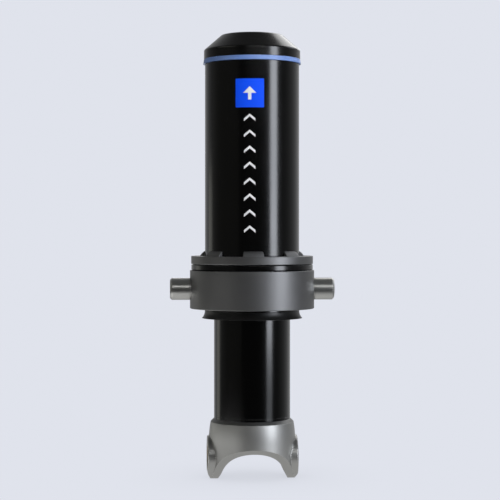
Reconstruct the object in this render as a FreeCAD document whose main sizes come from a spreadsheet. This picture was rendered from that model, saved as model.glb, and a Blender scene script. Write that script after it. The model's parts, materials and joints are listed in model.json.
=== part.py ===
import FreeCAD, Part
import math
import os
from types import SimpleNamespace

import Sketcher

# Four-stage telescopic tipping cylinder with an outer cover, shown closed. Millimetres.
# The origin is the centre of the fork's cross bore. +X runs along that bore, +Z up the barrel,
# and the front of the cylinder faces -Y.

SIZES = {
    # Pivots: the fork's cross bore and the two trunnion pins
    "pin_radius": 25.0,
    "bush_wall": 5.0,
    "bush_recess": 0.5,
    "pin_height": 381.0,
    "pin_seat": 115.0,
    "pin_neck_start": 136.0,
    "pin_shoulder": 141.5,
    "pin_reach": 186.3,
    "pin_chamfer": 4.0,
    "pin_spigot": 20.0,
    "pin_neck": 24.0,
    "pin_centre": 3.0,
    "pin_pilot": 1.0,
    "pin_pilot_depth": 6.0,
    # Fork
    "fork_drop": 45.5,
    "foot_bevel": 6.0,
    "ear_round": 51.0,
    "ear_face": 101.8,
    "ear_gap": 82.0,
    "ear_boss": 49.5,
    "ear_chamfer": 2.0,
    "spot_face": 33.0,
    "flare_rise": 26.0,
    "flare_angle": 30.0,
    "fork_radius": 98.0,
    "fork_shoulder": 40.0,
    "collar_curve": 217.72,
    "collar_radius": 94.2,
    "collar_edge": 80.5,
    "collar_top": 87.6,
    "collar_land": 0.2,
    "web_underside": 52.0,
    "web_corner": 6.0,
    "spigot_top": 106.0,
    # Oil port at the back of the fork
    "port_height": 68.0,
    "port_boss": 19.0,
    "port_seat": 85.0,
    "port_mouth": 108.0,
    "port_thread": 12.06,
    "port_depth": 20.0,
    "oil_way": 8.0,
    # Nested tubes
    "base_radius": 86.5,
    "base_wall": 8.0,
    "weld_height": 6.0,
    "weld_root": 1.5,
    "stage_radius": 74.5,
    "stage_step": 10.0,
    "stage_wall": 6.0,
    "plunger_wall": 8.0,
    "base_top": 846.0,
    "top_step": 10.0,
    "head_length": 80.0,
    "foot_height": 60.0,
    "foot_lift": 0.3,
    "land_gap": 0.3,
    "running_gap": 0.06,
    "edge_break": 1.5,
    # Glands: wiper, seal and guide band, measured down from each tube's top
    "wiper_depth": 5.0,
    "wiper_height": 9.0,
    "wiper_lip": 2.5,
    "seal_depth": 5.5,
    "seal_start": 16.0,
    "seal_height": 10.0,
    "seal_notch": 4.0,
    "guide_depth": 3.2,
    "guide_start": 37.0,
    "guide_height": 25.0,
    "band_start": 20.0,
    "band_height": 25.0,
    "band_depth": 2.8,
    # Plunger head and the bleed way through it
    "plunger_top": 905.0,
    "plunger_plug": 20.0,
    "plunger_flange": 44.0,
    "head_seat": 925.0,
    "bleed_way": 3.0,
    "ring_groove": 12.0,
    "ring_section": 2.0,
    # Cover tube, cap and trim ring
    "cover_radius": 107.0,
    "cover_wall": 8.0,
    "cover_bottom": 332.0,
    "cover_top": 891.0,
    "cap_spigot": 20.0,
    "cap_bore": 87.0,
    "cap_neck": 106.0,
    "cap_radius": 109.3,
    "cap_skirt": 901.0,
    "cap_shoulder": 922.0,
    "cap_top": 957.0,
    "cap_flat": 69.0,
    "cap_hollow": 66.0,
    "cap_hollow_rise": 37.0,
    "cap_shoulder_round": 5.0,
    "cap_top_round": 10.0,
    "trim_low": 111.0,
    "trim_high": 109.4,
    # Cap screws and bleed plug
    "screw_circle": 30.0,
    "screw_radius": 6.0,
    "screw_clear": 6.6,
    "screw_head": 9.0,
    "screw_head_height": 12.0,
    "screw_recess": 10.5,
    "screw_recess_depth": 14.0,
    "screw_grip": 16.0,
    "screw_socket": 5.77,
    "screw_socket_depth": 6.0,
    "plug_recess": 15.0,
    "plug_recess_depth": 12.0,
    "plug_hex": 10.97,
    "plug_hex_height": 8.0,
    "plug_washer": 1.5,
    "plug_washer_radius": 12.0,
    "plug_radius": 6.58,
    "plug_length": 14.0,
    # Flange, its welds and the thrust ring
    "flange_radius": 138.3,
    "flange_low": 437.7,
    "flange_high": 455.7,
    "flange_chamfer": 1.0,
    "weld_leg": 11.4,
    "weld_crown": 24.0,
    "weld_arc": 23.3,
    "thrust_radius": 138.0,
    "thrust_low": 424.6,
    "thrust_high": 436.5,
    "thrust_chamfer": 1.2,
    "thrust_land": 130.0,
    "thrust_bore_gap": 0.5,
    # Trunnion ring and what holds it on the cover
    "ring_radius": 141.0,
    "ring_low": 337.0,
    "ring_high": 423.5,
    "ring_chamfer": 1.0,
    "counterbore": 118.1,
    "split_radius": 117.0,
    "split_low": 341.0,
    "split_high": 350.0,
    "split_depth": 3.0,
    "split_gap": 2.0,
    "washer_height": 4.0,
    "part_gap": 0.3,
    # Bell skirt under the ring
    "skirt_bore": 88.5,
    "skirt_tip": 114.0,
    "skirt_low": 315.0,
    "skirt_neck": 107.4,
    "skirt_flare": 22.0,
    "skirt_lip": 2.0,
    "skirt_bevel": 10.0,
    "skirt_floor": 321.0,
    "skirt_spigot": 345.0,
    "skirt_spigot_wall": 7.5,
    # Grease nipple
    "nipple_radius": 5.0,
    "nipple_depth": 8.0,
    "nipple_collar": 6.0,
    "nipple_collar_height": 6.0,
    "nipple_ball": 3.2,
    "nipple_neck": 2.4,
    "nipple_mouth": 1.4,
    "nipple_step": 2.5,
    # How far a cutting tool runs past what it cuts: outside the piece, and inside it
    "past": 5.0,
    "overcut": 1.0,
}

STAGE_COUNT = 3
FOOT_SLOPE = 2.0
WELD_COUNT = 7
WELD_START = -92.2
SCREW_COUNT = 4
SCREW_START = 45.0
FULL_TURN = 360.0

doc = FreeCAD.newDocument("telescopic_cylinder")


# ---------------------------------------------------------------- sizes

class Size:
    """A length that carries the spreadsheet expression it comes from."""

    def __init__(self, value, text):
        self.value = value
        self.text = text

    def __add__(self, other):
        return joined(self, "+", other)

    def __sub__(self, other):
        return joined(self, "-", other)

    def __neg__(self):
        return Size(-self.value, f"(-{self.text})")

    def __mul__(self, factor):
        return Size(self.value * factor, f"({self.text} * {factor})")


def as_size(number):
    if isinstance(number, Size):
        return number
    return Size(float(number), str(float(number)))


def joined(left, sign, right):
    right = as_size(right)
    value = left.value + right.value if sign == "+" else left.value - right.value
    return Size(value, f"({left.text} {sign} {right.text})")


def make_sheet():
    """Write the driving sizes into a spreadsheet and give them back by name."""
    sheet = doc.addObject("Spreadsheet::Sheet", "Dimensions")
    named = {}
    for row, (name, value) in enumerate(SIZES.items(), start=1):
        sheet.set(f"A{row}", name)
        sheet.set(f"B{row}", str(value))
        sheet.setAlias(f"B{row}", name)
        named[name] = Size(value, f"Dimensions.{name}")
    doc.recompute()
    return SimpleNamespace(**named)


d = make_sheet()
ZERO = as_size(0)


# ---------------------------------------------------------------- drawing helpers

def origin_plane(body, role):
    return next(feature for feature in body.Origin.OriginFeatures if feature.Role == role)


def pin_point(sketch, point, kind, size):
    """Hold one point of a sketch at a distance from its origin."""
    axis = -2 if kind == "DistanceX" else -1
    if size.value == 0:
        sketch.addConstraint(Sketcher.Constraint("PointOnObject", *point, axis))
        return
    index = sketch.addConstraint(Sketcher.Constraint(kind, -1, 1, *point, size.value))
    sketch.setExpression(f"Constraints[{index}]", size.text)


def add_stretch(sketch, here, there, radius):
    """Add a line, or an arc where a radius is given; a negative radius turns clockwise."""
    if radius is None:
        geometry = sketch.addGeometry(Part.LineSegment(here, there), False)
        return (geometry, 1), (geometry, 2)
    chord = there - here
    left = FreeCAD.Vector(-chord.y, chord.x, 0).normalize()
    lift = math.sqrt(radius.value ** 2 - (chord.Length / 2) ** 2)
    turn = math.copysign(1.0, radius.value)
    centre = (here + there) * 0.5 + left * lift * turn
    first, last = (here, there) if turn > 0 else (there, here)
    begin = math.atan2(first.y - centre.y, first.x - centre.x)
    finish = math.atan2(last.y - centre.y, last.x - centre.x)
    circle = Part.Circle(centre, FreeCAD.Vector(0, 0, 1), abs(radius.value))
    geometry = sketch.addGeometry(Part.ArcOfCircle(circle, begin, finish), False)
    index = sketch.addConstraint(Sketcher.Constraint("Radius", geometry, abs(radius.value)))
    sketch.setExpression(f"Constraints[{index}]", radius.text if turn > 0 else (-radius).text)
    if turn > 0:
        return (geometry, 1), (geometry, 2)
    return (geometry, 2), (geometry, 1)


def draw_loop(sketch, corners):
    """Draw a closed outline; a corner is (across, up), or (across, up, radius) before an arc."""
    starts = []
    ends = []
    for corner, following in zip(corners, corners[1:] + corners[:1]):
        here = FreeCAD.Vector(corner[0].value, corner[1].value, 0)
        there = FreeCAD.Vector(following[0].value, following[1].value, 0)
        start, end = add_stretch(sketch, here, there, corner[2] if len(corner) > 2 else None)
        starts.append(start)
        ends.append(end)
    for end, start in zip(ends, starts[1:] + starts[:1]):
        sketch.addConstraint(Sketcher.Constraint("Coincident", *end, *start))
    for start, corner in zip(starts, corners):
        pin_point(sketch, start, "DistanceX", corner[0])
        pin_point(sketch, start, "DistanceY", corner[1])


def profile(body, name, corners, plane="XZ_Plane"):
    sketch = body.newObject("Sketcher::SketchObject", name)
    sketch.AttachmentSupport = (origin_plane(body, plane), "")
    sketch.MapMode = "FlatFace"
    draw_loop(sketch, corners)
    return sketch


def turned(label, corners, axis="V_Axis"):
    """A body turned from one outline about the sketch's upright or level axis."""
    body = doc.addObject("PartDesign::Body", label)
    add_turning(body, "PartDesign::Revolution", label + "_turning", corners, axis)
    return body


def add_turning(body, kind, name, corners, axis):
    sketch = profile(body, name + "_profile", corners)
    feature = body.newObject(kind, name)
    feature.Profile = sketch
    feature.ReferenceAxis = (sketch, [axis])
    feature.Angle = FULL_TURN
    return feature


def block(inner, outer, low, high):
    """Corners of a rectangular ring section."""
    return [(inner, low), (outer, low), (outer, high), (inner, high)]


DIRECTIONS = {
    "X": FreeCAD.Rotation(FreeCAD.Vector(0, 1, 0), 90),
    "Y": FreeCAD.Rotation(FreeCAD.Vector(1, 0, 0), -90),
    "Z": FreeCAD.Rotation(),
}
UPRIGHT = FreeCAD.Rotation(FreeCAD.Vector(1, 0, 0), 90)


def rod(name, radius, low, high, direction="Z", x=ZERO, y=ZERO, z=ZERO):
    """A plain cylinder along X, Y or Z, from low to high on that axis."""
    piece = doc.addObject("Part::Cylinder", name)
    piece.setExpression("Radius", radius.text)
    piece.setExpression("Height", (high - low).text)
    set_place(piece, direction, low, x, y, z)
    return piece


def hexagon(name, corner_radius, low, high, x=ZERO, y=ZERO):
    piece = doc.addObject("Part::Prism", name)
    piece.Polygon = 6
    piece.setExpression("Circumradius", corner_radius.text)
    piece.setExpression("Height", (high - low).text)
    set_place(piece, "Z", low, x, y, ZERO)
    return piece


def set_place(piece, direction, low, x, y, z):
    piece.Placement = FreeCAD.Placement(FreeCAD.Vector(), DIRECTIONS[direction])
    place = {"X": x, "Y": y, "Z": z}
    place[direction] = low
    for name, size in place.items():
        piece.setExpression(f"Placement.Base.{name.lower()}", size.text)


def fused(name, pieces):
    whole = doc.addObject("Part::MultiFuse", name)
    whole.Shapes = pieces
    return whole


def cut(name, base, tool):
    result = doc.addObject("Part::Cut", name)
    result.Base = base
    result.Tool = tool
    return result


def group(label, pieces):
    """Identical pieces that stay separate solids in one node."""
    node = doc.addObject("Part::Compound", label)
    node.Links = pieces
    return node


def round_edge(body, radius, height, fillet):
    """Round the circular edge of a turned body at the given radius and height."""
    doc.recompute()
    tip = body.Tip
    names = [
        f"Edge{index}"
        for index, edge in enumerate(tip.Shape.Edges, start=1)
        if isinstance(edge.Curve, Part.Circle)
        and abs(edge.Curve.Radius - radius.value) < 1e-3
        and abs(edge.Curve.Center.z - height.value) < 1e-3
    ]
    rounding = body.newObject("PartDesign::Fillet", body.Name + "_round")
    rounding.Base = (tip, names)
    rounding.setExpression("Radius", fillet.text)


def around(circle, index, count, start=0.0):
    """Place number index of count on a circle about Z."""
    angle = math.radians(start + FULL_TURN * index / count)
    return circle * round(math.cos(angle), 9), circle * round(math.sin(angle), 9)


# ---------------------------------------------------------------- fork and oil port

def make_fork():
    """The forged fork: collar, web and two ears with a cross bore."""
    body = turned("fork_forging", [
        (ZERO, -d.fork_drop),
        (d.fork_radius, -d.fork_drop),
        (d.fork_radius, d.fork_shoulder, d.collar_curve),
        (d.collar_radius, d.collar_edge),
        (d.base_radius + d.collar_land, d.collar_top),
        (d.base_radius - d.base_wall, d.collar_top),
        (d.base_radius - d.base_wall, d.spigot_top),
        (ZERO, d.spigot_top),
    ])
    rim = d.ear_boss - d.ear_chamfer
    boss = [
        (-d.ear_face, ZERO),
        (d.ear_face, ZERO),
        (d.ear_face, rim),
        (d.ear_face - d.ear_chamfer, d.ear_boss),
        (-d.ear_face + d.ear_chamfer, d.ear_boss),
        (-d.ear_face, rim),
    ]
    add_turning(body, "PartDesign::Revolution", "fork_bosses", boss, "H_Axis")
    cavity = [
        (ZERO, -d.fork_drop - d.past),
        (d.ear_gap, -d.fork_drop - d.past),
        (d.ear_gap, d.web_underside - d.web_corner),
        (d.ear_gap - d.web_corner, d.web_underside),
        (ZERO, d.web_underside),
    ]
    add_turning(body, "PartDesign::Groove", "fork_cavity", cavity, "V_Axis")
    bore = d.pin_radius + d.bush_wall
    past = d.ear_face + d.past
    cross = [
        (-past, ZERO),
        (past, ZERO),
        (past, bore),
        (d.ear_gap, bore),
        (d.ear_gap, d.spot_face),
        (-d.ear_gap, d.spot_face),
        (-d.ear_gap, bore),
        (-past, bore),
    ]
    add_turning(body, "PartDesign::Groove", "fork_cross_bore", cross, "H_Axis")
    shaping = [cut_arch("front", FULL_TURN / 2), cut_arch("back", 0), cut_foot()]
    arched = cut("fork_arched", body, fused("fork_shaping", shaping))
    port_end = d.port_mouth + d.past
    level_end = d.port_seat + d.overcut
    ways = fused("fork_ways", [
        rod("fork_port_socket", d.port_boss, d.port_seat, port_end, "Y", z=d.port_height),
        rod("fork_level_way", d.oil_way, ZERO, level_end, "Y", z=d.port_height),
        rod("fork_upright_way", d.oil_way, d.port_height, d.spigot_top + d.overcut),
    ])
    return cut("bottom_yoke", arched, ways)


def cut_foot():
    """The tool that levels the ears' feet and bevels their outer corners, steeper than 45 degrees."""
    past = d.ear_face + d.past
    bevel_top = (d.foot_bevel + d.past) * FOOT_SLOPE - d.fork_drop
    sketch = doc.addObject("Sketcher::SketchObject", "fork_foot_outline")
    sketch.Placement = FreeCAD.Placement(FreeCAD.Vector(), UPRIGHT)
    draw_loop(sketch, [
        (-past, bevel_top),
        (-past, -d.ear_boss - d.past),
        (past, -d.ear_boss - d.past),
        (past, bevel_top),
        (d.ear_face - d.foot_bevel, -d.fork_drop),
        (d.foot_bevel - d.ear_face, -d.fork_drop),
    ])
    tool = doc.addObject("Part::Extrusion", "fork_foot_tool")
    tool.Base = sketch
    tool.DirMode = "Normal"
    tool.setExpression("LengthFwd", (d.ear_round * 2).text)
    tool.Symmetric = True
    tool.Solid = True
    return tool


def arc_about(centre, radius, first, last):
    """The shorter arc from first to last about a centre."""
    middle = (first - centre + last - centre).normalize()
    return Part.Arc(first, centre + middle * radius, last).toShape()


def cut_arch(name, turn):
    """The tool that leaves the ears round at the foot and flared up to the rim, on one side."""
    angle = math.radians(SIZES["flare_angle"])
    rise, rim, curve = (SIZES[size] for size in ("flare_rise", "fork_radius", "ear_round"))
    drop, past = SIZES["fork_drop"], SIZES["past"]
    half = SIZES["ear_face"] + past
    # The flare is one arc that meets the ear's arc smoothly and reaches the rim at the flare angle
    lead = rim * math.sin(angle) - rise * math.cos(angle)
    flare = (rim ** 2 + rise ** 2 - curve ** 2) / (2 * (curve - lead))
    ear_centre = FreeCAD.Vector(-half, 0, 0)
    to_flare = FreeCAD.Vector(0, rim + flare * math.sin(angle), rise - flare * math.cos(angle))
    flare_centre = ear_centre + to_flare
    foot_y = math.sqrt(curve ** 2 - drop ** 2)
    foot = FreeCAD.Vector(-half, foot_y, -drop)
    meeting = ear_centre + to_flare * (curve / to_flare.Length)
    lip = FreeCAD.Vector(-half, rim, rise)
    corners = [
        lip,
        FreeCAD.Vector(-half, rim + past, rise + past * math.tan(angle)),
        FreeCAD.Vector(-half, rim + past, -drop - past),
        FreeCAD.Vector(-half, foot_y, -drop - past),
        foot,
    ]
    edges = [arc_about(ear_centre, curve, foot, meeting), arc_about(flare_centre, flare, meeting, lip)]
    edges += [Part.LineSegment(*ends).toShape() for ends in zip(corners, corners[1:])]
    tool = doc.addObject("Part::Feature", f"fork_arch_{name}")
    tool.Shape = Part.Face(Part.Wire(edges)).extrude(FreeCAD.Vector(2 * half, 0, 0))
    tool.Placement = FreeCAD.Placement(FreeCAD.Vector(), FreeCAD.Rotation(FreeCAD.Vector(0, 0, 1), turn))
    return tool


def make_bush(label, side):
    near = d.ear_gap * side
    far = (d.ear_face - d.bush_recess) * side
    bore = d.pin_radius
    outer = d.pin_radius + d.bush_wall
    return turned(label, [(near, bore), (far, bore), (far, outer), (near, outer)], "H_Axis")


def make_port():
    """The welded port boss at the back, tapped at its mouth."""
    blank = rod("port_blank", d.port_boss, d.port_seat, d.port_mouth, "Y", z=d.port_height)
    start = d.port_mouth - d.port_depth
    bores = fused("port_bores", [
        rod("port_thread_bore", d.port_thread, start, d.port_mouth + d.overcut, "Y", z=d.port_height),
        rod("port_oil_way", d.oil_way, d.port_seat - d.overcut, d.port_mouth, "Y", z=d.port_height),
    ])
    return cut("oil_port_boss", blank, bores)


# ---------------------------------------------------------------- nested tubes

def stage_outer(number):
    return d.stage_radius - d.stage_step * (number - 1)


def tube_bore(number):
    """Bore of the base (0) or of a stage; the plunger is the tube inside the last stage."""
    if number == 0:
        return d.base_radius - d.base_wall
    return stage_outer(number) - d.stage_wall


def tube_top(number):
    return d.base_top + d.top_step * number


def gland_corners(number):
    """The inside of a tube's head, from its top down, with its three grooves."""
    top = tube_top(number)
    land = stage_outer(number + 1) + d.land_gap
    corners = [
        (land + d.wiper_depth, top),
        (land + d.wiper_depth, top - d.wiper_height),
        (land, top - d.wiper_height),
    ]
    grooves = (
        (d.seal_start, d.seal_height, d.seal_depth),
        (d.guide_start, d.guide_height, d.guide_depth),
    )
    for start, height, depth in grooves:
        corners += [
            (land, top - start),
            (land + depth, top - start),
            (land + depth, top - start - height),
            (land, top - start - height),
        ]
    return corners + [(land, top - d.head_length), (tube_bore(number), top - d.head_length)]


def foot_corners(number, tube, bore):
    """The outside of a moving tube's foot collar, from its bottom up, with its band groove."""
    low = d.spigot_top + d.foot_lift
    collar = tube_bore(number - 1) - d.land_gap
    return [
        (bore, low),
        (collar, low),
        (collar, low + d.band_start),
        (collar - d.band_depth, low + d.band_start),
        (collar - d.band_depth, low + d.band_start + d.band_height),
        (collar, low + d.band_start + d.band_height),
        (collar, low + d.foot_height),
        (tube, low + d.foot_height),
    ]


def make_base_tube():
    bore = tube_bore(0)
    low = d.collar_top
    corners = [
        (bore, low),
        (bore + d.weld_root, low),
        (d.base_radius, low + d.weld_height),
        (d.base_radius, d.base_top - d.edge_break),
        (d.base_radius - d.edge_break, d.base_top),
    ]
    return turned("base_tube", corners + gland_corners(0))


def make_yoke_weld():
    root = tube_bore(0) + d.weld_root
    corners = [
        (root, d.collar_top),
        (d.base_radius, d.collar_top),
        (d.base_radius, d.collar_top + d.weld_height),
    ]
    return turned("yoke_weld", corners)


def make_stage_tube(number):
    tube = stage_outer(number)
    top = tube_top(number)
    rim = [(tube, top - d.edge_break), (tube - d.edge_break, top)]
    foot = foot_corners(number, tube, tube_bore(number))
    return turned(f"stage_{number}_tube", foot + rim + gland_corners(number))


def make_gland(owner, number):
    """Wiper, seal and guide band in one tube's head, round the tube that slides in it."""
    top = tube_top(number)
    inside = stage_outer(number + 1) + d.running_gap
    land = stage_outer(number + 1) + d.land_gap
    wiper_seat = land + d.wiper_depth
    wiper = [
        (inside, top - d.wiper_height),
        (wiper_seat, top - d.wiper_height),
        (wiper_seat, top),
        (inside + d.wiper_lip, top),
        (inside, top + d.wiper_lip),
    ]
    seal_top = top - d.seal_start
    seal_low = seal_top - d.seal_height
    seal = [
        (inside, seal_low),
        (inside + d.seal_depth * 0.5, seal_low + d.seal_notch),
        (land + d.seal_depth, seal_low),
        (land + d.seal_depth, seal_top),
        (inside, seal_top),
    ]
    band_top = top - d.guide_start
    band = block(inside, land + d.guide_depth, band_top - d.guide_height, band_top)
    turned(f"{owner}_wiper", wiper)
    turned(f"{owner}_seal", seal)
    turned(f"{owner}_guide_band", band)
    return [f"{owner}_wiper", f"{owner}_seal", f"{owner}_guide_band"]


def make_foot_band(owner, number):
    low = d.spigot_top + d.foot_lift + d.band_start
    inner = tube_bore(number - 1) - d.land_gap - d.band_depth
    outer = tube_bore(number - 1) - d.running_gap
    return turned(f"{owner}_foot_band", block(inner, outer, low, low + d.band_height))


# ---------------------------------------------------------------- plunger

def make_plunger_tube():
    number = STAGE_COUNT + 1
    tube = stage_outer(number)
    bore = tube - d.plunger_wall
    corners = foot_corners(number, tube, bore) + [(tube, d.plunger_top), (bore, d.plunger_top)]
    return turned("plunger_tube", corners)


def make_plunger_head():
    bore = stage_outer(STAGE_COUNT + 1) - d.plunger_wall
    groove_in = d.ring_groove - d.ring_section
    groove_out = d.ring_groove + d.ring_section
    groove_floor = d.head_seat - d.ring_section * 2
    body = turned("plunger_head_blank", [
        (d.bleed_way, d.plunger_top - d.plunger_plug),
        (bore, d.plunger_top - d.plunger_plug),
        (bore, d.plunger_top),
        (d.plunger_flange, d.plunger_top),
        (d.plunger_flange, d.head_seat),
        (groove_out, d.head_seat),
        (groove_out, groove_floor),
        (groove_in, groove_floor),
        (groove_in, d.head_seat),
        (d.bleed_way, d.head_seat),
    ])
    holes = []
    low = d.head_seat - d.screw_grip
    high = d.head_seat + d.overcut
    for index in range(SCREW_COUNT):
        x, y = around(d.screw_circle, index, SCREW_COUNT, SCREW_START)
        holes.append(rod(f"plunger_screw_hole_{index}", d.screw_radius, low, high, x=x, y=y))
    return cut("plunger_head", body, fused("plunger_screw_holes", holes))


def make_bleed_seal():
    ring = doc.addObject("Part::Torus", "bleed_seal")
    ring.setExpression("Radius1", d.ring_groove.text)
    ring.setExpression("Radius2", d.ring_section.text)
    ring.setExpression("Placement.Base.z", (d.head_seat - d.ring_section).text)
    return ring


# ---------------------------------------------------------------- cover, cap and their fastenings

def make_cover_tube():
    bore = d.cover_radius - d.cover_wall
    groove = d.cover_radius - d.split_depth
    return turned("cover_tube", [
        (bore, d.cover_bottom),
        (d.cover_radius, d.cover_bottom),
        (d.cover_radius, d.split_low),
        (groove, d.split_low),
        (groove, d.split_high),
        (d.cover_radius, d.split_high),
        (d.cover_radius, d.cover_top),
        (bore, d.cover_top),
    ])


def make_cap():
    spigot = d.cover_radius - d.cover_wall
    low = d.cover_top - d.cap_spigot
    body = turned("cap_blank", [
        (d.cap_bore, low),
        (spigot, low),
        (spigot, d.cover_top),
        (d.cap_neck, d.cover_top),
        (d.cap_neck, d.cap_skirt),
        (d.cap_radius, d.cap_skirt),
        (d.cap_radius, d.cap_shoulder),
        (d.cap_flat, d.cap_top),
        (ZERO, d.cap_top),
        (ZERO, d.head_seat),
        (d.cap_hollow, d.head_seat),
        (d.cap_bore, low + d.cap_hollow_rise),
    ])
    round_edge(body, d.cap_radius, d.cap_shoulder, d.cap_shoulder_round)
    round_edge(body, d.cap_flat, d.cap_top, d.cap_top_round)
    above = d.cap_top + d.overcut
    under = d.head_seat - d.overcut
    tools = [
        rod("cap_plug_recess", d.plug_recess, d.cap_top - d.plug_recess_depth, above),
        rod("cap_plug_bore", d.plug_radius, plug_end(), above),
        rod("cap_bleed_way", d.bleed_way, under, above),
    ]
    for index in range(SCREW_COUNT):
        x, y = around(d.screw_circle, index, SCREW_COUNT, SCREW_START)
        floor = d.cap_top - d.screw_recess_depth
        tools.append(rod(f"cap_screw_recess_{index}", d.screw_recess, floor, above, x=x, y=y))
        tools.append(rod(f"cap_screw_hole_{index}", d.screw_clear, under, above, x=x, y=y))
    return cut("cover_cap", body, fused("cap_holes", tools))


def plug_end():
    return d.cap_top - d.plug_recess_depth - d.plug_length


def make_cap_screws():
    screws = []
    under_head = d.cap_top - d.screw_recess_depth
    head_top = under_head + d.screw_head_height
    for index in range(SCREW_COUNT):
        x, y = around(d.screw_circle, index, SCREW_COUNT, SCREW_START)
        tag = f"cap_screw_{index}"
        solid = fused(tag + "_solid", [
            rod(tag + "_head", d.screw_head, under_head, head_top, x=x, y=y),
            rod(tag + "_shank", d.screw_radius, d.head_seat - d.screw_grip, under_head, x=x, y=y),
        ])
        floor = head_top - d.screw_socket_depth
        socket = hexagon(tag + "_socket", d.screw_socket, floor, head_top + d.overcut, x=x, y=y)
        screws.append(cut(tag, solid, socket))
    return group("cap_screws", screws)


def make_bleed_plug():
    seat = d.cap_top - d.plug_recess_depth + d.plug_washer
    return fused("bleed_plug", [
        hexagon("plug_hexagon", d.plug_hex, seat, seat + d.plug_hex_height),
        rod("plug_shank", d.plug_radius, plug_end(), seat),
    ])


def make_bleed_washer():
    low = d.cap_top - d.plug_recess_depth
    return turned("bleed_washer", block(d.plug_radius, d.plug_washer_radius, low, low + d.plug_washer))


def make_trim_ring():
    return turned("trim_ring", [
        (d.cap_neck, d.cover_top),
        (d.trim_low, d.cover_top),
        (d.trim_high, d.cap_skirt),
        (d.cap_neck, d.cap_skirt),
    ])


# ---------------------------------------------------------------- flange, thrust ring and skirt

def make_flange():
    edge = d.flange_radius - d.flange_chamfer
    return turned("collar_flange", [
        (d.cover_radius, d.flange_low),
        (edge, d.flange_low),
        (d.flange_radius, d.flange_low + d.flange_chamfer),
        (d.flange_radius, d.flange_high - d.flange_chamfer),
        (edge, d.flange_high),
        (d.cover_radius, d.flange_high),
    ])


def make_flange_welds():
    """Evenly spaced stitch fillets between the flange's top and the cover tube."""
    stitches = []
    for index in range(WELD_COUNT):
        sketch = doc.addObject("Sketcher::SketchObject", f"stitch_section_{index}")
        sketch.Placement = FreeCAD.Placement(FreeCAD.Vector(), UPRIGHT)
        draw_loop(sketch, [
            (d.cover_radius, d.flange_high),
            (d.cover_radius + d.weld_leg, d.flange_high, d.weld_crown),
            (d.cover_radius, d.flange_high + d.weld_leg),
        ])
        stitch = doc.addObject("Part::Revolution", f"stitch_{index}")
        stitch.Source = sketch
        stitch.Base = FreeCAD.Vector(0, 0, 0)
        stitch.Axis = FreeCAD.Vector(0, 0, 1)
        stitch.setExpression("Angle", d.weld_arc.text)
        stitch.Solid = True
        start = WELD_START - SIZES["weld_arc"] / 2 + FULL_TURN * index / WELD_COUNT
        stitch.Placement = FreeCAD.Placement(
            FreeCAD.Vector(), FreeCAD.Rotation(FreeCAD.Vector(0, 0, 1), start))
        stitches.append(stitch)
    return group("flange_welds", stitches)


def make_thrust_ring():
    bore = d.cover_radius + d.thrust_bore_gap
    edge = d.thrust_radius - d.thrust_chamfer
    return turned("thrust_ring", [
        (bore, d.ring_high + d.part_gap),
        (d.thrust_land, d.ring_high + d.part_gap),
        (d.thrust_land, d.thrust_low),
        (edge, d.thrust_low),
        (d.thrust_radius, d.thrust_low + d.thrust_chamfer),
        (d.thrust_radius, d.thrust_high - d.thrust_chamfer),
        (edge, d.thrust_high),
        (d.thrust_land, d.thrust_high),
        (d.thrust_land, d.flange_low),
        (bore, d.flange_low),
    ])


def make_split_ring():
    """The split ring in the cover's groove, as two halves with a gap at each joint."""
    groove = d.cover_radius - d.split_depth
    whole = turned("split_ring_blank", block(groove, d.split_radius, d.split_low, d.split_high))
    outside = d.split_radius + d.past
    near = d.split_gap * 0.5
    halves = []
    for name, side in (("front", -1), ("back", 1)):
        keeper = doc.addObject("Part::Box", f"split_{name}_keeper")
        keeper.setExpression("Length", (outside * 2).text)
        keeper.setExpression("Width", outside.text)
        keeper.setExpression("Height", (d.split_high - d.split_low + d.past * 2).text)
        keeper.setExpression("Placement.Base.x", (-outside).text)
        keeper.setExpression("Placement.Base.y", (near if side > 0 else -outside - near).text)
        keeper.setExpression("Placement.Base.z", (d.split_low - d.past).text)
        half = doc.addObject("Part::Common", f"split_ring_{name}")
        half.Base = whole
        half.Tool = keeper
        halves.append(half)
    return group("split_ring_halves", halves)


def make_bearing_washer():
    inner = d.cover_radius + d.thrust_bore_gap
    outer = d.split_radius
    return turned("bearing_washer", block(inner, outer, d.split_high, d.split_high + d.washer_height))


def make_skirt():
    """The bell at the cover's mouth, turned in below the trunnion ring."""
    spigot = d.cover_radius - d.cover_wall
    return turned("dirt_skirt", [
        (d.skirt_bore, d.skirt_floor),
        (d.skirt_tip - d.skirt_lip - d.skirt_bevel, d.skirt_floor),
        (d.skirt_tip - d.skirt_lip, d.skirt_low),
        (d.skirt_tip, d.skirt_low, -d.skirt_flare),
        (d.skirt_neck, d.cover_bottom),
        (spigot, d.cover_bottom),
        (spigot, d.skirt_spigot),
        (spigot - d.skirt_spigot_wall, d.skirt_spigot),
        (d.skirt_bore, d.cover_bottom),
    ])


# ---------------------------------------------------------------- trunnion

def make_trunnion_ring():
    bore = d.cover_radius + d.running_gap
    seat = d.split_high + d.washer_height + d.part_gap
    edge = d.ring_radius - d.ring_chamfer
    body = turned("trunnion_blank", [
        (d.counterbore, d.ring_low),
        (edge, d.ring_low),
        (d.ring_radius, d.ring_low + d.ring_chamfer),
        (d.ring_radius, d.ring_high - d.ring_chamfer),
        (edge, d.ring_high),
        (bore, d.ring_high),
        (bore, seat),
        (d.counterbore, seat),
    ])
    past = d.ring_radius + d.past
    tools = [rod("nipple_hole", d.nipple_radius, d.cover_radius, past, "Y", z=d.pin_height)]
    steps = (("spigot", d.pin_spigot, d.pin_seat), ("neck", d.pin_neck, d.pin_neck_start))
    for kind, radius, floor in steps:
        tools.append(rod(f"{kind}_socket_right", radius, floor, past, "X", z=d.pin_height))
        tools.append(rod(f"{kind}_socket_left", radius, -past, -floor, "X", z=d.pin_height))
    return cut("trunnion_ring", body, fused("trunnion_sockets", tools))


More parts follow.
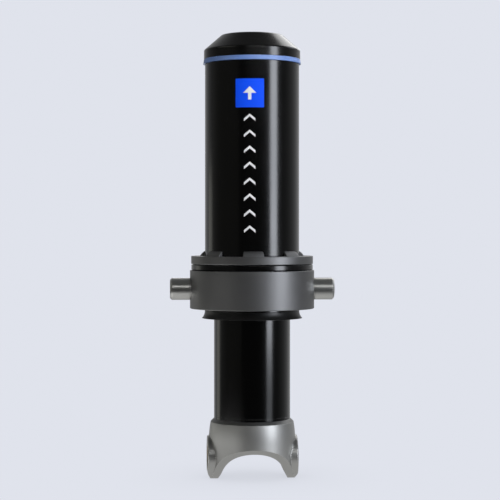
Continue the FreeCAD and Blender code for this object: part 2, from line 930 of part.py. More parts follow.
def make_trunnion_pin(label, side):
    """A stepped pin: spigot in the ring, neck, and the bearing length with a drilled centre."""
    outline = [
        (d.pin_seat, ZERO),
        (d.pin_reach - d.pin_pilot_depth, ZERO),
        (d.pin_reach - d.pin_pilot_depth, d.pin_pilot),
        (d.pin_reach - d.pin_centre + d.pin_pilot, d.pin_pilot),
        (d.pin_reach, d.pin_centre),
        (d.pin_reach, d.pin_radius - d.pin_chamfer),
        (d.pin_reach - d.pin_chamfer, d.pin_radius),
        (d.pin_shoulder, d.pin_radius),
        (d.pin_shoulder, d.pin_neck),
        (d.pin_neck_start, d.pin_neck),
        (d.pin_neck_start, d.pin_spigot),
        (d.pin_seat, d.pin_spigot),
    ]
    pin = turned(label, [(along * side, radius) for along, radius in outline], "H_Axis")
    pin.setExpression("Placement.Base.z", d.pin_height.text)
    return pin


def make_nipple():
    """The grease nipple at the back of the trunnion ring, turned about its own axis."""
    shoulder = d.nipple_depth + d.nipple_collar_height
    nipple = turned("ring_grease_nipple", [
        (ZERO, ZERO),
        (d.nipple_radius, ZERO),
        (d.nipple_radius, d.nipple_depth),
        (d.nipple_collar, d.nipple_depth),
        (d.nipple_collar, shoulder),
        (d.nipple_ball, shoulder),
        (d.nipple_neck, shoulder + d.nipple_step),
        (d.nipple_ball, shoulder + d.nipple_step * 2),
        (d.nipple_ball, shoulder + d.nipple_step * 3),
        (d.nipple_mouth, shoulder + d.nipple_step * 4),
        (ZERO, shoulder + d.nipple_step * 4),
    ])
    nipple.Placement = FreeCAD.Placement(FreeCAD.Vector(), DIRECTIONS["Y"])
    nipple.setExpression("Placement.Base.y", (d.ring_radius - d.nipple_depth).text)
    nipple.setExpression("Placement.Base.z", d.pin_height.text)
    return nipple


# ---------------------------------------------------------------- assembly

def build():
    """Make every piece and give back the names of the nodes."""
    nodes = [
        make_fork(),
        make_bush("yoke_bush_left", -1),
        make_bush("yoke_bush_right", 1),
        make_port(),
        make_base_tube(),
        make_yoke_weld(),
        make_plunger_tube(),
        make_plunger_head(),
        make_bleed_seal(),
        make_foot_band("plunger", STAGE_COUNT + 1),
        make_cover_tube(),
        make_cap(),
        make_cap_screws(),
        make_bleed_plug(),
        make_bleed_washer(),
        make_trim_ring(),
        make_flange(),
        make_flange_welds(),
        make_thrust_ring(),
        make_split_ring(),
        make_bearing_washer(),
        make_skirt(),
        make_trunnion_ring(),
        make_trunnion_pin("trunnion_pin_left", -1),
        make_trunnion_pin("trunnion_pin_right", 1),
        make_nipple(),
    ]
    names = [node.Name for node in nodes] + make_gland("base", 0)
    for number in range(1, STAGE_COUNT + 1):
        owner = f"stage_{number}"
        names.append(make_stage_tube(number).Name)
        names.append(make_foot_band(owner, number).Name)
        names += make_gland(owner, number)
    doc.recompute()
    return names


def check(names):
    """Stop on any failed object, and on any sub-part that is missing or not valid."""
    for item in doc.Objects:
        if "Invalid" in item.State or "Error" in item.State:
            raise RuntimeError(f"{item.Name} failed: {item.State}")
    for name in names:
        shape = doc.getObject(name).Shape
        if shape.isNull() or not shape.isValid() or not shape.Solids:
            raise RuntimeError(f"{name} has no sound shape")


def check_cut(name, base):
    """Stop if a cutting feature took nothing off the shape before it."""
    if doc.getObject(name).Shape.Volume > doc.getObject(base).Shape.Volume - 1:
        raise RuntimeError(f"{name} cut nothing")


node_names = build()
check(node_names)
check_cut("fork_cavity", "fork_bosses")
check_cut("fork_cross_bore", "fork_cavity")
check_cut("fork_arched", "fork_cross_bore")
os.makedirs("parts", exist_ok=True)
for node_name in node_names:
    doc.getObject(node_name).Shape.exportStep(os.path.join("parts", node_name + ".step"))
print(len(node_names), "sub-parts written")
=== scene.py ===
import json
import math

import bmesh
import bpy
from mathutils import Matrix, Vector


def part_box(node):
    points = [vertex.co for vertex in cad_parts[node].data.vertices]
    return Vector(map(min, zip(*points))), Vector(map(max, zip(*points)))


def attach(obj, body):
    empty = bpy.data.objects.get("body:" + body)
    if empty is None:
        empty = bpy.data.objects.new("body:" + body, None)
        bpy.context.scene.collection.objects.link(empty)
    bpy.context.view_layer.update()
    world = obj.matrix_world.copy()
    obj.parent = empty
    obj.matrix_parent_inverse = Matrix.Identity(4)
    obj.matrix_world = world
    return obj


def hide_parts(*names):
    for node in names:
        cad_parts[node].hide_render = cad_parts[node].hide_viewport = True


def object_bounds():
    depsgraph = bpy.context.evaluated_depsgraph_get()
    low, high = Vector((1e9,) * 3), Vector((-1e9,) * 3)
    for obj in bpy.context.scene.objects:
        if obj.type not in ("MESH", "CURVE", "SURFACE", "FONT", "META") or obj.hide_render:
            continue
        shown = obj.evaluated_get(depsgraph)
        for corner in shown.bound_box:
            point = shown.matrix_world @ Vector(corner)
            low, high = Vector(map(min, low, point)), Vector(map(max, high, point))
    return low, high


# Looks of the telescopic cylinder: metres, +Z up, the front faces -Y.

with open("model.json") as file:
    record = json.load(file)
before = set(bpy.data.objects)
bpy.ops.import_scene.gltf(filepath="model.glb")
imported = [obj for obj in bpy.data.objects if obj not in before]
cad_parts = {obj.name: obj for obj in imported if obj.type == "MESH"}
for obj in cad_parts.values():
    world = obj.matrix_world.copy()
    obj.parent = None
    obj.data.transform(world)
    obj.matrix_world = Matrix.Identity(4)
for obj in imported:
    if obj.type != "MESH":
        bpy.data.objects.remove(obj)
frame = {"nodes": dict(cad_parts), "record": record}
cad_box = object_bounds()
NODES = frame["nodes"]

# ---------------------------------------------------------------- camera and studio sizes
CAMERA_DISTANCE = 3.48
CAMERA_HEIGHT = 0.519
CAMERA_YAW = math.radians(3.8)      # the camera stands this far round towards -X
CAMERA_LENS = 110.2
CAMERA_SHIFT = (-0.0041, -0.044)
COOL = (0.88, 0.92, 1.0)
WARM = (1.0, 1.0, 0.9)
BACKDROP = (0.745, 0.768, 0.838)    # linear colour of the pale backdrop and floor
CONTACT_SHADE = (0.62, 0.64, 0.70)  # and of the floor where the object stands
CONTACT_REACH = 0.22
FLOOR_SIZE = 60.0
FLOOR_GLOW = 0.64                   # how light reflections see the floor just round the object
FLOOR_REACH = (0.2, 0.45)           # it fades out between these distances
POOL_GLOW = 3.4                     # how light they see the pool of light at the left
POOL_REACH = (0.1, 0.27)
POOL_CENTRES = ((-0.6, 0.06), (-0.61, -0.12), (-0.54, -0.29), (-0.43, -0.42))
STUDIO_TINT = (0.97, 0.98, 1.0)
REAR_AZIMUTH = math.radians(165)    # where the studio's walls are lightest, from -Y towards +X
REAR_END = -0.45                    # cosine of the turn from there at which they are dimmest
REAR_POWER = 2.2
WALL_DIM = 0.03
WALL_LIGHT = 0.6
CEILING = 0.11
CEILING_START = (0.7, 0.97)         # sines of the climb where walls turn into ceiling
GROUND = 0.42
GROUND_START = (-0.8, -0.45)        # and where ground turns into walls

# ---------------------------------------------------------------- marks on the cover
MARK_AZIMUTH = math.radians(6.6)    # centre line of the marks, from -Y towards -X
LABEL_SIZE = 0.064
LABEL_HEIGHT = 0.817
LABEL_CORNER = 0.0015
ARROW_SIZE = 0.0294
ARROW_STEM = 0.13                   # half the stem's width, as a share of the arrow's size
CHEVRON_COUNT = 8
CHEVRON_TOP = 0.763
CHEVRON_PITCH = 0.0352
CHEVRON_SIZE = (0.0254, 0.0166)
CHEVRON_STROKE = 0.0062
DECAL_THICKNESS = 0.0002
DECAL_LIFT = 0.00005                # how far a film lies off what is under it
DECAL_STEP = 0.002                  # width of the strips that bend a film round the cover

# ---------------------------------------------------------------- stitch welds
WELD_COUNT = 7
WELD_ARC = math.radians(23.3)
WELD_MIDDLE = math.radians(-92.2)   # where the front stitch is centred
WELD_LEG = 0.0114
WELD_CROWN = 0.0011
WELD_CROWN_SLANT = 0.7              # share of the crown along each leg, since it bulges slantwise
WELD_ROOT = 0.0006                  # how far a bead reaches into the corner
WELD_STEPS = 90                     # sections along a bead
WELD_END = (0.002, 0.88)            # length of a bead's rounded end, and its size at the tip
RIPPLE_SIZE = 0.022
RIPPLE_PITCH = 0.0031

# ---------------------------------------------------------------- finishes
EDGE_ROUND = 0.0012                 # how far the edges look rounded
CLOUD_SCALE = 9.0                   # patterns in paint, in waves per metre
PEEL_SCALE = 220.0
SMEAR_SCALE = 26.0
RUBBED_SCALE = 70.0
PATCH_SCALE = 18.0                  # and in bare metal
NOISE_SPREAD = (0.3, 0.7)           # most of a noise's values lie between these
RUBBED_SPREAD = (0.35, 0.6)         # noise that rises from painted to rubbed
RUBBED_SHARE = 0.7
WORN_GAIN = 1.35                    # how much lighter a metal's worn edges are
WORN_SHARE = 0.6
BOSS_OUTSIDE = 0.0984               # the fork's bosses lie outside this radius of the upright axis
BOSS_START = 0.07                   # and further out than this along the cross bore
BOSS_SMOOTHER = 0.1                 # how much less rough they are
BEVEL_SHADE_HEIGHTS = (0.0802, 0.0814)        # between these heights the fork's bevel is darkened with painted shade, standing in for the dark reflection of the ceiling in it
# How much the painted shade darkens the fork's bevel, and its dark tone
BEVEL_SHADE_SHARE = 0.6
BEVEL_SHADE_TONE = (0.02, 0.02, 0.02, 1.0)
RUBBED = (0.06, 0.06, 0.06, 1.0)    # bare primer where the black paint is rubbed

# A finish may differ from the record's slot: these nodes have their own coat of the black enamel.
OWN_ENAMEL = {"base_tube": "base_enamel", "yoke_weld": "base_enamel", "cover_cap": "cap_enamel"}


# ---------------------------------------------------------------- material helpers

class Nodes:
    """A node tree and short calls for the nodes in it. A value may be a number or a socket."""

    def __init__(self, tree):
        self.tree = tree

    def node(self, kind, **settings):
        made = self.tree.nodes.new(kind)
        for name, value in settings.items():
            setattr(made, name, value)
        return made

    def link(self, source, target):
        self.tree.links.new(source, target)

    def feed(self, socket, value):
        if isinstance(value, bpy.types.NodeSocket):
            self.link(value, socket)
        else:
            socket.default_value = value

    def math(self, operation, first, second=0.0):
        made = self.node("ShaderNodeMath", operation=operation)
        self.feed(made.inputs[0], first)
        self.feed(made.inputs[1], second)
        return made.outputs[0]

    def mapped(self, value, low, high, to_low, to_high, smooth=False):
        made = self.node("ShaderNodeMapRange", interpolation_type="SMOOTHSTEP" if smooth else "LINEAR")
        ends = {"Value": value, "From Min": low, "From Max": high, "To Min": to_low, "To Max": to_high}
        for name, end in ends.items():
            self.feed(made.inputs[name], end)
        return made.outputs["Result"]


class Shader(Nodes):
    """A material with one principled shader and short calls for what feeds it."""

    def __init__(self, name):
        self.material = bpy.data.materials.new(name)
        self.material.use_nodes = True
        super().__init__(self.material.node_tree)
        self.principled = self.tree.nodes["Principled BSDF"]
        self.position = self.node("ShaderNodeTexCoord").outputs["Object"]

    def set(self, **values):
        for name, value in values.items():
            self.principled.inputs[name.replace("_", " ")].default_value = value
        return self

    def scaled(self, vector, scale):
        made = self.node("ShaderNodeVectorMath", operation="MULTIPLY")
        self.link(vector, made.inputs[0])
        made.inputs[1].default_value = scale
        return made.outputs[0]

    def noise(self, vector, scale, detail=3.0, roughness=0.5):
        made = self.node("ShaderNodeTexNoise")
        self.link(vector, made.inputs["Vector"])
        made.inputs["Scale"].default_value = scale
        made.inputs["Detail"].default_value = detail
        made.inputs["Roughness"].default_value = roughness
        return made.outputs["Fac"]

    def blended(self, factor, first, second):
        made = self.node("ShaderNodeMix", data_type="RGBA")
        self.feed(made.inputs["Factor"], factor)
        self.feed(made.inputs[6], first)
        self.feed(made.inputs[7], second)
        return made.outputs[2]

    def turning(self, axis="Z"):
        """Coordinates along the axis and out from it, so that a pattern in them runs round it."""
        parts = self.node("ShaderNodeSeparateXYZ")
        self.link(self.position, parts.inputs[0])
        along = parts.outputs[axis]
        across = [parts.outputs[name] for name in "XYZ" if name != axis]
        squares = [self.math("POWER", output, 2.0) for output in across]
        radius = self.math("SQRT", self.math("ADD", *squares))
        joined = self.node("ShaderNodeCombineXYZ")
        self.link(along, joined.inputs["X"])
        self.link(radius, joined.inputs["Y"])
        return joined.outputs[0]

    def colour(self, socket):
        self.link(socket, self.principled.inputs["Base Color"])
        return self

    def roughness(self, socket):
        self.link(socket, self.principled.inputs["Roughness"])
        return self

    def rounded_normal(self, radius):
        """The surface normal with sharp edges rounded to a radius."""
        made = self.node("ShaderNodeBevel", samples=6)
        made.inputs["Radius"].default_value = radius
        return made.outputs[0]

    def edge_mask(self, radius, low=0.02, high=0.16):
        """0 on open surfaces, rising to 1 along edges, where handling wears the finish."""
        made = self.node("ShaderNodeVectorMath", operation="DOT_PRODUCT")
        self.link(self.rounded_normal(radius), made.inputs[0])
        self.link(self.node("ShaderNodeNewGeometry").outputs["Normal"], made.inputs[1])
        return self.mapped(self.math("SUBTRACT", 1.0, made.outputs["Value"]), low, high, 0.0, 1.0)

    def bump(self, height, distance, edge):
        made = self.node("ShaderNodeBump")
        made.inputs["Distance"].default_value = distance
        self.link(height, made.inputs["Height"])
        self.link(self.rounded_normal(edge), made.inputs["Normal"])
        self.link(made.outputs[0], self.principled.inputs["Normal"])
        return self

    def brushed_round(self, axis, amount):
        """Stretch reflections across grooves that run round the axis."""
        tangent = self.node("ShaderNodeTangent", direction_type="RADIAL", axis=axis)
        self.link(tangent.outputs[0], self.principled.inputs["Tangent"])
        return self.set(Anisotropic=amount, Anisotropic_Rotation=0.25)


def grey(level, blue=1.0):
    return (level, level, level * blue, 1.0)


def paint(name, dark, light, rough_low, rough_high, peel=0.00004, worn=None):
    """Sprayed enamel: faint cloudiness, orange peel, wandering roughness and rubbed edges."""
    shader = Shader(name)
    cloud = shader.noise(shader.position, CLOUD_SCALE, 4.0)
    grain = shader.noise(shader.position, PEEL_SCALE, 2.0)
    smear = shader.noise(shader.scaled(shader.position, (1.0, 1.0, 0.35)), SMEAR_SCALE, 5.0, 0.6)
    colour = shader.blended(cloud, dark, light)
    if worn:
        blots = shader.noise(shader.position, RUBBED_SCALE, 4.0)
        patches = shader.mapped(blots, *RUBBED_SPREAD, 0.0, RUBBED_SHARE)
        rubbed = shader.math("MULTIPLY", shader.edge_mask(EDGE_ROUND), patches)
        colour = shader.blended(rubbed, colour, worn)
    shader.colour(colour)
    shader.roughness(shader.mapped(smear, *NOISE_SPREAD, rough_low, rough_high))
    shader.bump(grain, peel, EDGE_ROUND)
    return shader


def turned_metal(
        name, dark, light, rough, axis="Z", pitch=900.0, depth=0.00002, brushed=0.4, edge=EDGE_ROUND):
    """Lathe-turned metal: fine rings round the axis, patchy colour and bright worn edges."""
    shader = Shader(name).set(Metallic=1.0)
    rings = shader.noise(shader.turning(axis), pitch, 2.0, 0.7)
    patches = shader.noise(shader.position, PATCH_SCALE, 5.0, 0.6)
    colour = shader.blended(patches, dark, light)
    bright = tuple(min(1.0, level * WORN_GAIN) for level in light[:3]) + (1.0,)
    worn = shader.math("MULTIPLY", shader.edge_mask(edge), WORN_SHARE)
    shader.colour(shader.blended(worn, colour, bright))
    shader.roughness(shader.mapped(patches, *NOISE_SPREAD, *rough))
    shader.bump(rings, depth, edge)
    shader.brushed_round(axis, brushed)
    return shader


def finer_bosses(shader):
    """Give what stands out of the fork's round flank a finer finish, turned about the cross bore."""
    parts = shader.node("ShaderNodeSeparateXYZ")
    shader.link(shader.position, parts.inputs[0])
    squares = [shader.math("POWER", parts.outputs[name], 2.0) for name in "XY"]
    outside = shader.math("GREATER_THAN", shader.math("ADD", *squares), BOSS_OUTSIDE ** 2)
    boss = shader.math("MULTIPLY", outside, shader.math("GREATER_THAN", squares[0], BOSS_START ** 2))
    satin = shader.principled.inputs["Roughness"].links[0].from_socket
    shader.roughness(shader.math("SUBTRACT", satin, shader.math("MULTIPLY", boss, BOSS_SMOOTHER)))
    upright = shader.principled.inputs["Tangent"].links[0].from_socket
    level = shader.node("ShaderNodeTangent", direction_type="RADIAL", axis="X")
    turned = shader.node("ShaderNodeMix", data_type="VECTOR")
    for source, socket in ((boss, 0), (upright, 4), (level.outputs[0], 5)):
        shader.link(source, turned.inputs[socket])
    shader.link(turned.outputs[1], shader.principled.inputs["Tangent"])


def paint_bevel_shade(shader):
    """Darken the fork's top bevel with painted shade, which stands in for the dark reflection of the
    ceiling in the bevel.
    """
    parts = shader.node("ShaderNodeSeparateXYZ")
    shader.link(shader.position, parts.inputs[0])
    bare = shader.principled.inputs["Base Color"].links[0].from_socket
    share = shader.mapped(parts.outputs["Z"], *BEVEL_SHADE_HEIGHTS, 0.0, BEVEL_SHADE_SHARE)
    shader.colour(shader.blended(share, bare, BEVEL_SHADE_TONE))


def make_materials():
    """One material for each of the record's slots, and for the finishes of the base, cap and welds."""
    # Dark and light tone, lowest and highest roughness, depth of the orange peel, rubbed edges
    paints = {
        "black_paint": (grey(0.0006), grey(0.001), 0.17, 0.22, 0.00004, RUBBED),
        "base_enamel": (grey(0.0001), grey(0.0003), 0.15, 0.19, 0.00003, RUBBED),
        "cap_enamel": (grey(0.001), grey(0.0015), 0.2, 0.25, 0.00004, RUBBED),
        "skirt_black": (grey(0.0008), grey(0.0014), 0.36, 0.42, 0.00004, RUBBED),
        "black_polymer": (grey(0.0004), grey(0.0008), 0.18, 0.24, 0.00003, None),
        "blue_trim": ((0.125, 0.235, 0.56, 1), (0.135, 0.255, 0.6, 1), 0.42, 0.48, 0.00003, None),
        "wiper_rubber": (grey(0.012), grey(0.02), 0.5, 0.7, 0.0001, None),
        "seal_rubber": ((0.01, 0.03, 0.1, 1), (0.02, 0.05, 0.14, 1), 0.35, 0.5, 0.00004, None),
        "band_resin": ((0.09, 0.035, 0.02, 1), (0.14, 0.06, 0.03, 1), 0.5, 0.65, 0.0001, None),
        "label_blue": ((0.002, 0.083, 0.96, 1), (0.004, 0.088, 1.0, 1), 0.5, 0.6, 0.00001, None),
        "mark_white": (grey(0.88), grey(0.94), 0.4, 0.5, 0.00001, None),
    }
    # Dark and light tone, roughness, axis, turning marks: their scale, depth and pull, edge rounding
    metals = {
        "ring_grey": (grey(0.17), grey(0.21), (0.48, 0.54), "Z", 900.0, 0.00002, 0.2),
        "weld_grey": (grey(0.21), grey(0.26), (0.56, 0.64), "Z", 900.0, 0.00002, 0.2),
        "forged_steel": (
            grey(0.36, 0.97), grey(0.42, 0.97), (0.45, 0.51), "Z", 500.0, 0.00002, 0.1, 0.0022),
        "pin_steel": (grey(0.48, 0.96), grey(0.56, 0.96), (0.28, 0.34), "X", 900.0, 0.00001, 0.1),
        "honed_steel": (grey(0.53, 1.02), grey(0.56, 1.02), (0.22, 0.235), "Z", 1500.0, 0.000001, 0.1),
        "bronze": (
            (0.24, 0.17, 0.09, 1), (0.32, 0.23, 0.13, 1), (0.34, 0.44), "X", 900.0, 0.00002, 0.3),
        "zinc_plated": (grey(0.5, 0.94), grey(0.6, 0.96), (0.28, 0.4), "Z", 900.0, 0.00002, 0.2),
        "copper_washer": (
            (0.6, 0.28, 0.16, 1), (0.7, 0.36, 0.22, 1), (0.3, 0.4), "Z", 900.0, 0.00002, 0.2),
    }
    made = {name: paint(name, *finish) for name, finish in paints.items()}
    made.update({name: turned_metal(name, *finish) for name, finish in metals.items()})
    made["label_blue"].set(Specular_IOR_Level=0.15)
    made["blue_trim"].set(Specular_IOR_Level=1.0)
    finer_bosses(made["forged_steel"])
    # Painted shade on the fork's top bevel
    paint_bevel_shade(made["forged_steel"])
    return made


MATERIALS = make_materials()


def dress_nodes():
    """Give each CAD node the material of its slot, or its own coat of the black enamel."""
    for row in frame["record"]["subparts"]:
        finish = OWN_ENAMEL.get(row["node"], row["material_slot"])
        for slot in NODES[row["node"]].material_slots:
            slot.material = MATERIALS[finish].material


# ---------------------------------------------------------------- mesh helpers

def finish_mesh(name, mesh_data, slot, body):
    """Turn a bmesh into a shown piece that rides on a body."""
    bmesh.ops.recalc_face_normals(mesh_data, faces=mesh_data.faces)
    mesh = bpy.data.meshes.new(name)
    mesh_data.to_mesh(mesh)
    mesh_data.free()
    piece = bpy.data.objects.new(name, mesh)
    bpy.context.scene.collection.objects.link(piece)
    mesh.materials.append(MATERIALS[slot].material)
    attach(piece, body)
    return piece


def on_cover(across, height, lift, radius):
    """A point on the cover: across is measured round the tube from the marks' centre line."""
    angle = -math.pi / 2 - MARK_AZIMUTH + across / radius
    return Vector(((radius + lift) * math.cos(angle), (radius + lift) * math.sin(angle), height))


def in_order(elements, place):
    """Sort a mesh's vertices or faces by place, so that each run numbers them alike."""
    ranks = {element: rank for rank, element in enumerate(sorted(elements, key=place))}
    elements.sort(key=ranks.get)


def decal(name, outline, slot, lift):
    """A thin film on the cover, cut to a flat outline given as (across, height)."""
    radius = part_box("cover_tube")[1].x
    film = bmesh.new()
    film.faces.new([film.verts.new((across, height, 0)) for across, height in outline])
    widest = max(across for across, height in outline)
    cut = (0.5 - math.ceil(widest / DECAL_STEP)) * DECAL_STEP
    while cut < widest:
        everything = film.verts[:] + film.edges[:] + film.faces[:]
        bmesh.ops.bisect_plane(film, geom=everything, plane_co=(cut, 0, 0), plane_no=(1, 0, 0))
        cut += DECAL_STEP
    tops = bmesh.ops.extrude_face_region(film, geom=film.faces[:], use_keep_orig=True)["geom"]
    raised = {vert for vert in tops if isinstance(vert, bmesh.types.BMVert)}
    for vert in film.verts:
        height = lift + (DECAL_THICKNESS if vert in raised else 0)
        vert.co = on_cover(vert.co.x, vert.co.y, height, radius)
    in_order(film.verts, lambda vert: vert.co[:])
    in_order(film.faces, lambda face: face.calc_center_median()[:])
    finish_mesh(name, film, slot, "cover")


# ---------------------------------------------------------------- marks

def rounded_square(centre, size, corner, steps=8):
    half = size / 2 - corner
    points = []
    for quarter in range(4):
        turn = quarter * math.pi / 2
        middle_x = half * (1 if quarter in (0, 3) else -1)
        middle_y = half * (1 if quarter in (0, 1) else -1)
        for step in range(steps + 1):
            angle = turn + step / steps * math.pi / 2
            across = middle_x + corner * math.cos(angle)
            points.append((across, centre + middle_y + corner * math.sin(angle)))
    return points


def arrow(centre, size):
    """An upward arrow: a stem under a wide head."""
    half = size / 2
    stem = size * ARROW_STEM
    low = centre - half
    tail = [(-stem, low), (stem, low), (stem, centre)]
    return tail + [(half, centre), (0, low + size), (-half, centre), (-stem, centre)]


def chevron(centre, width, height, stroke):
    """An upward chevron: two slanted strokes that meet in the middle."""
    half = width / 2
    low = centre - height / 2
    top = low + height
    underside = [(-half, low), (0, top - stroke), (half, low)]
    return underside + [(half, low + stroke), (0, top), (-half, low + stroke)]


def make_marks():
    """A plain blue square with an arrow, and a column of chevrons that point up."""
    square = rounded_square(LABEL_HEIGHT, LABEL_SIZE, LABEL_CORNER)
    decal("label_square", square, "label_blue", DECAL_LIFT)
    above_square = DECAL_THICKNESS + 2 * DECAL_LIFT
    decal("label_arrow", arrow(LABEL_HEIGHT, ARROW_SIZE), "mark_white", above_square)
    for index in range(CHEVRON_COUNT):
        centre = CHEVRON_TOP - CHEVRON_PITCH * index
        mark = chevron(centre, *CHEVRON_SIZE, CHEVRON_STROKE)
        decal(f"mark_{index + 1}", mark, "mark_white", DECAL_LIFT)


# ---------------------------------------------------------------- stitch welds

def weld_section(reach, steps=12):
    """Outline of a slightly crowned fillet, from the tube down to the flange, then its root."""
    points = []
    for step in range(steps + 1):
        share = step / steps
        crown = WELD_CROWN * math.sin(math.pi * share) * reach * WELD_CROWN_SLANT
        out = WELD_LEG * share * reach + crown
        up = WELD_LEG * (1 - share) * reach + crown
        points.append((out, up))
    return points + [(-WELD_ROOT, -WELD_ROOT)]


def make_stitch(index):
    """One bead in the corner between cover and flange, with rounded ends and a rippled crown."""
    tube_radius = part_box("cover_tube")[1].x
    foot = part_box("collar_flange")[1].z
    centre = WELD_MIDDLE + index * 2 * math.pi / WELD_COUNT
    length = WELD_ARC * tube_radius
    end_length, tip = WELD_END
    bead = bmesh.new()
    rings = []
    for step in range(WELD_STEPS + 1):
        share = step / WELD_STEPS
        angle = centre + WELD_ARC * (share - 0.5)
        along = share * length
        inward = min(1.0, max(0.0, min(along, length - along) / end_length))
        taper = tip + (1 - tip) * math.sqrt(inward)
        ripple = 1 + RIPPLE_SIZE * math.cos(along / RIPPLE_PITCH * 2 * math.pi) * inward
        ring = []
        for out, up in weld_section(taper * ripple):
            reach = tube_radius + out
            ring.append(bead.verts.new((reach * math.cos(angle), reach * math.sin(angle), foot + up)))
        rings.append(ring)
    for first, second in zip(rings, rings[1:]):
        size = len(first)
        for spot in range(size):
            after = (spot + 1) % size
            bead.faces.new((first[spot], first[after], second[after], second[spot]))
    bead.faces.new(rings[0])
    bead.faces.new(list(reversed(rings[-1])))
    return bead


def make_welds():
    """All the stitches as one piece, with solidified ripples."""
    whole = bmesh.new()
    for index in range(WELD_COUNT):
        bead = make_stitch(index)
        mesh = bpy.data.meshes.new("stitch")
        bead.to_mesh(mesh)
        bead.free()
        whole.from_mesh(mesh)
        bpy.data.meshes.remove(mesh)
    piece = finish_mesh("flange_stitches", whole, "weld_grey", "cover")
    for polygon in piece.data.polygons:
        polygon.use_smooth = len(polygon.vertices) == 4
    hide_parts("flange_welds")


# ---------------------------------------------------------------- studio

def make_floor():
    """A pale floor for the camera, with a soft contact shade. Reflections see lit patches of it."""
    floor_mesh = bpy.data.meshes.new("floor")
    half = FLOOR_SIZE / 2
    height = cad_box[0].z
    turns = ((-1, -1), (1, -1), (1, 1), (-1, 1))
    corners = [(half * across, half * deep, height) for across, deep in turns]
    floor_mesh.from_pydata(corners, [], [(0, 1, 2, 3)])
    floor = bpy.data.objects.new("floor", floor_mesh)
    bpy.context.scene.collection.objects.link(floor)
    shader = Shader("floor")
    glow = shader.node("ShaderNodeEmission")
    shade = shader.node("ShaderNodeAmbientOcclusion")
    shade.inputs["Distance"].default_value = CONTACT_REACH
    pale = shader.blended(shade.outputs["AO"], (*CONTACT_SHADE, 1), (*BACKDROP, 1))

    def patch(centre, inner, outer):
        """1 within the inner distance of a place on the floor, fading to 0 at the outer one."""
        made = shader.node("ShaderNodeVectorMath", operation="DISTANCE")
        shader.link(shader.position, made.inputs[0])
        made.inputs[1].default_value = centre
        return shader.mapped(made.outputs["Value"], inner, outer, 1.0, 0.0)

    near = patch((0, 0, height), *FLOOR_REACH)
    pool = 0.0
    for x, y in POOL_CENTRES:
        pool = shader.math("MAXIMUM", patch((x, y, height), *POOL_REACH), pool)
    seen = shader.node("ShaderNodeLightPath").outputs["Is Camera Ray"]
    reflected = shader.blended(pool, grey(FLOOR_GLOW), grey(POOL_GLOW))
    shader.link(shader.blended(seen, reflected, pale), glow.inputs["Color"])
    shown = shader.node("ShaderNodeMixShader")
    shader.link(shader.math("MAXIMUM", seen, shader.math("MAXIMUM", near, pool)), shown.inputs[0])
    shader.link(shader.node("ShaderNodeBsdfTransparent").outputs[0], shown.inputs[1])
    shader.link(glow.outputs[0], shown.inputs[2])
    shader.link(shown.outputs[0], shader.tree.nodes["Material Output"].inputs["Surface"])
    floor_mesh.materials.append(shader.material)
    floor.visible_diffuse = False
    floor.visible_shadow = False


def make_world():
    """Pale backdrop for the camera; a dim studio with a lighter rear and ground for reflections."""
    world = bpy.data.worlds.new("studio")
    bpy.context.scene.world = world
    world.use_nodes = True
    world.node_tree.nodes.clear()
    sky = Nodes(world.node_tree)

    def background(colour, strength=1.0):
        made = sky.node("ShaderNodeBackground")
        made.inputs["Color"].default_value = (*colour, 1)
        sky.feed(made.inputs["Strength"], strength)
        return made.outputs[0]

    direction = sky.node("ShaderNodeTexCoord").outputs["Generated"]
    parts = sky.node("ShaderNodeSeparateXYZ")
    sky.link(direction, parts.inputs[0])
    climb = parts.outputs["Z"]
    toward = sky.node("ShaderNodeVectorMath", operation="DOT_PRODUCT")
    sky.link(direction, toward.inputs[0])
    toward.inputs[1].default_value = (math.sin(REAR_AZIMUTH), -math.cos(REAR_AZIMUTH), 0)
    rise = sky.math("POWER", sky.mapped(toward.outputs["Value"], REAR_END, 1.0, 0.0, 1.0), REAR_POWER)
    walls = sky.mapped(rise, 0.0, 1.0, WALL_DIM, WALL_LIGHT)
    above = sky.mapped(climb, *CEILING_START, walls, CEILING, smooth=True)
    level = sky.mapped(climb, *GROUND_START, GROUND, above, smooth=True)
    shown = sky.node("ShaderNodeMixShader")
    sky.link(sky.node("ShaderNodeLightPath").outputs["Is Camera Ray"], shown.inputs[0])
    sky.link(background(STUDIO_TINT, level), shown.inputs[1])
    sky.link(background(BACKDROP), shown.inputs[2])
    sky.link(shown.outputs[0], sky.node("ShaderNodeOutputWorld").inputs["Surface"])


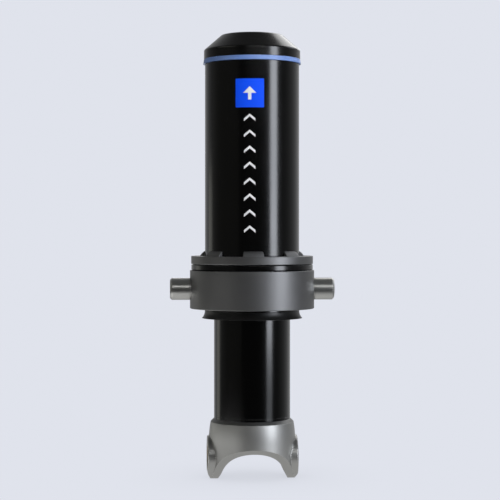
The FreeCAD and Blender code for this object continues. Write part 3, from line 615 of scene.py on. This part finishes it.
def softbox(
        name, azimuth, height, size, radiance,
        aim=0.5, distance=3.0, tint=(1, 1, 1), glossy=True, spread=180):
    """A rectangular light; azimuth 0 stands at the camera's side (-Y), 90 on the +X side."""
    angle = math.radians(azimuth)
    width, tall = size
    lamp = bpy.data.lights.new(name, "AREA")
    lamp.shape = "RECTANGLE"
    lamp.size = width
    lamp.size_y = tall
    lamp.energy = radiance * math.pi * width * tall
    lamp.color = tint
    lamp.spread = math.radians(spread)
    holder = bpy.data.objects.new(name, lamp)
    bpy.context.scene.collection.objects.link(holder)
    place = Vector((distance * math.sin(angle), -distance * math.cos(angle), height))
    holder.location = place
    holder.rotation_euler = (Vector((0, 0, aim)) - place).to_track_quat("-Z", "Y").to_euler()
    holder.visible_glossy = glossy


def make_lights():
    softbox("key_strip", 49.4, 1.12, (0.95, 2.2), 9.6, aim=0.75, tint=COOL)
    softbox("key_foot", 49.4, -0.45, (0.95, 0.9), 1.3, aim=-0.2, tint=COOL)
    softbox("left_rear", -125, 0.1, (0.9, 1.3), 0.62, aim=0.1, tint=WARM)
    softbox("rear_right", 152, 2.6, (1.5, 2.4), 2.2, aim=0.95)
    softbox("left_wall", -75, 0.7, (5.0, 1.7), 0.06, aim=0.7, tint=WARM)
    softbox("left_high", -68, 2.2, (2.6, 0.9), 1.0, tint=WARM)
    softbox("right_high", 108, 2.2, (1.6, 0.8), 2.4, tint=COOL)
    softbox("front_high", 8, 1.8, (2.4, 0.35), 2.9, distance=2.8)
    softbox("front_spot", 19, 2.1, (0.35, 0.35), 0.15, aim=0.94, spread=12)
    softbox("back_strip", 180, 0.68, (0.35, 1.25), 3.0, aim=0.68)
    softbox("front_fill", 0, 1.4, (2.4, 1.8), 2.75, distance=3.6, glossy=False)


def make_camera():
    lens = bpy.data.cameras.new("camera")
    lens.lens = CAMERA_LENS
    lens.shift_x, lens.shift_y = CAMERA_SHIFT
    camera = bpy.data.objects.new("camera", lens)
    bpy.context.scene.collection.objects.link(camera)
    camera.location = (
        -CAMERA_DISTANCE * math.sin(CAMERA_YAW),
        -CAMERA_DISTANCE * math.cos(CAMERA_YAW),
        CAMERA_HEIGHT,
    )
    camera.rotation_euler = (math.pi / 2, 0, -CAMERA_YAW)
    bpy.context.scene.camera = camera


make_camera()
make_world()
make_lights()
make_floor()
dress_nodes()
make_marks()
make_welds()
bpy.context.scene.view_settings.view_transform = "Standard"
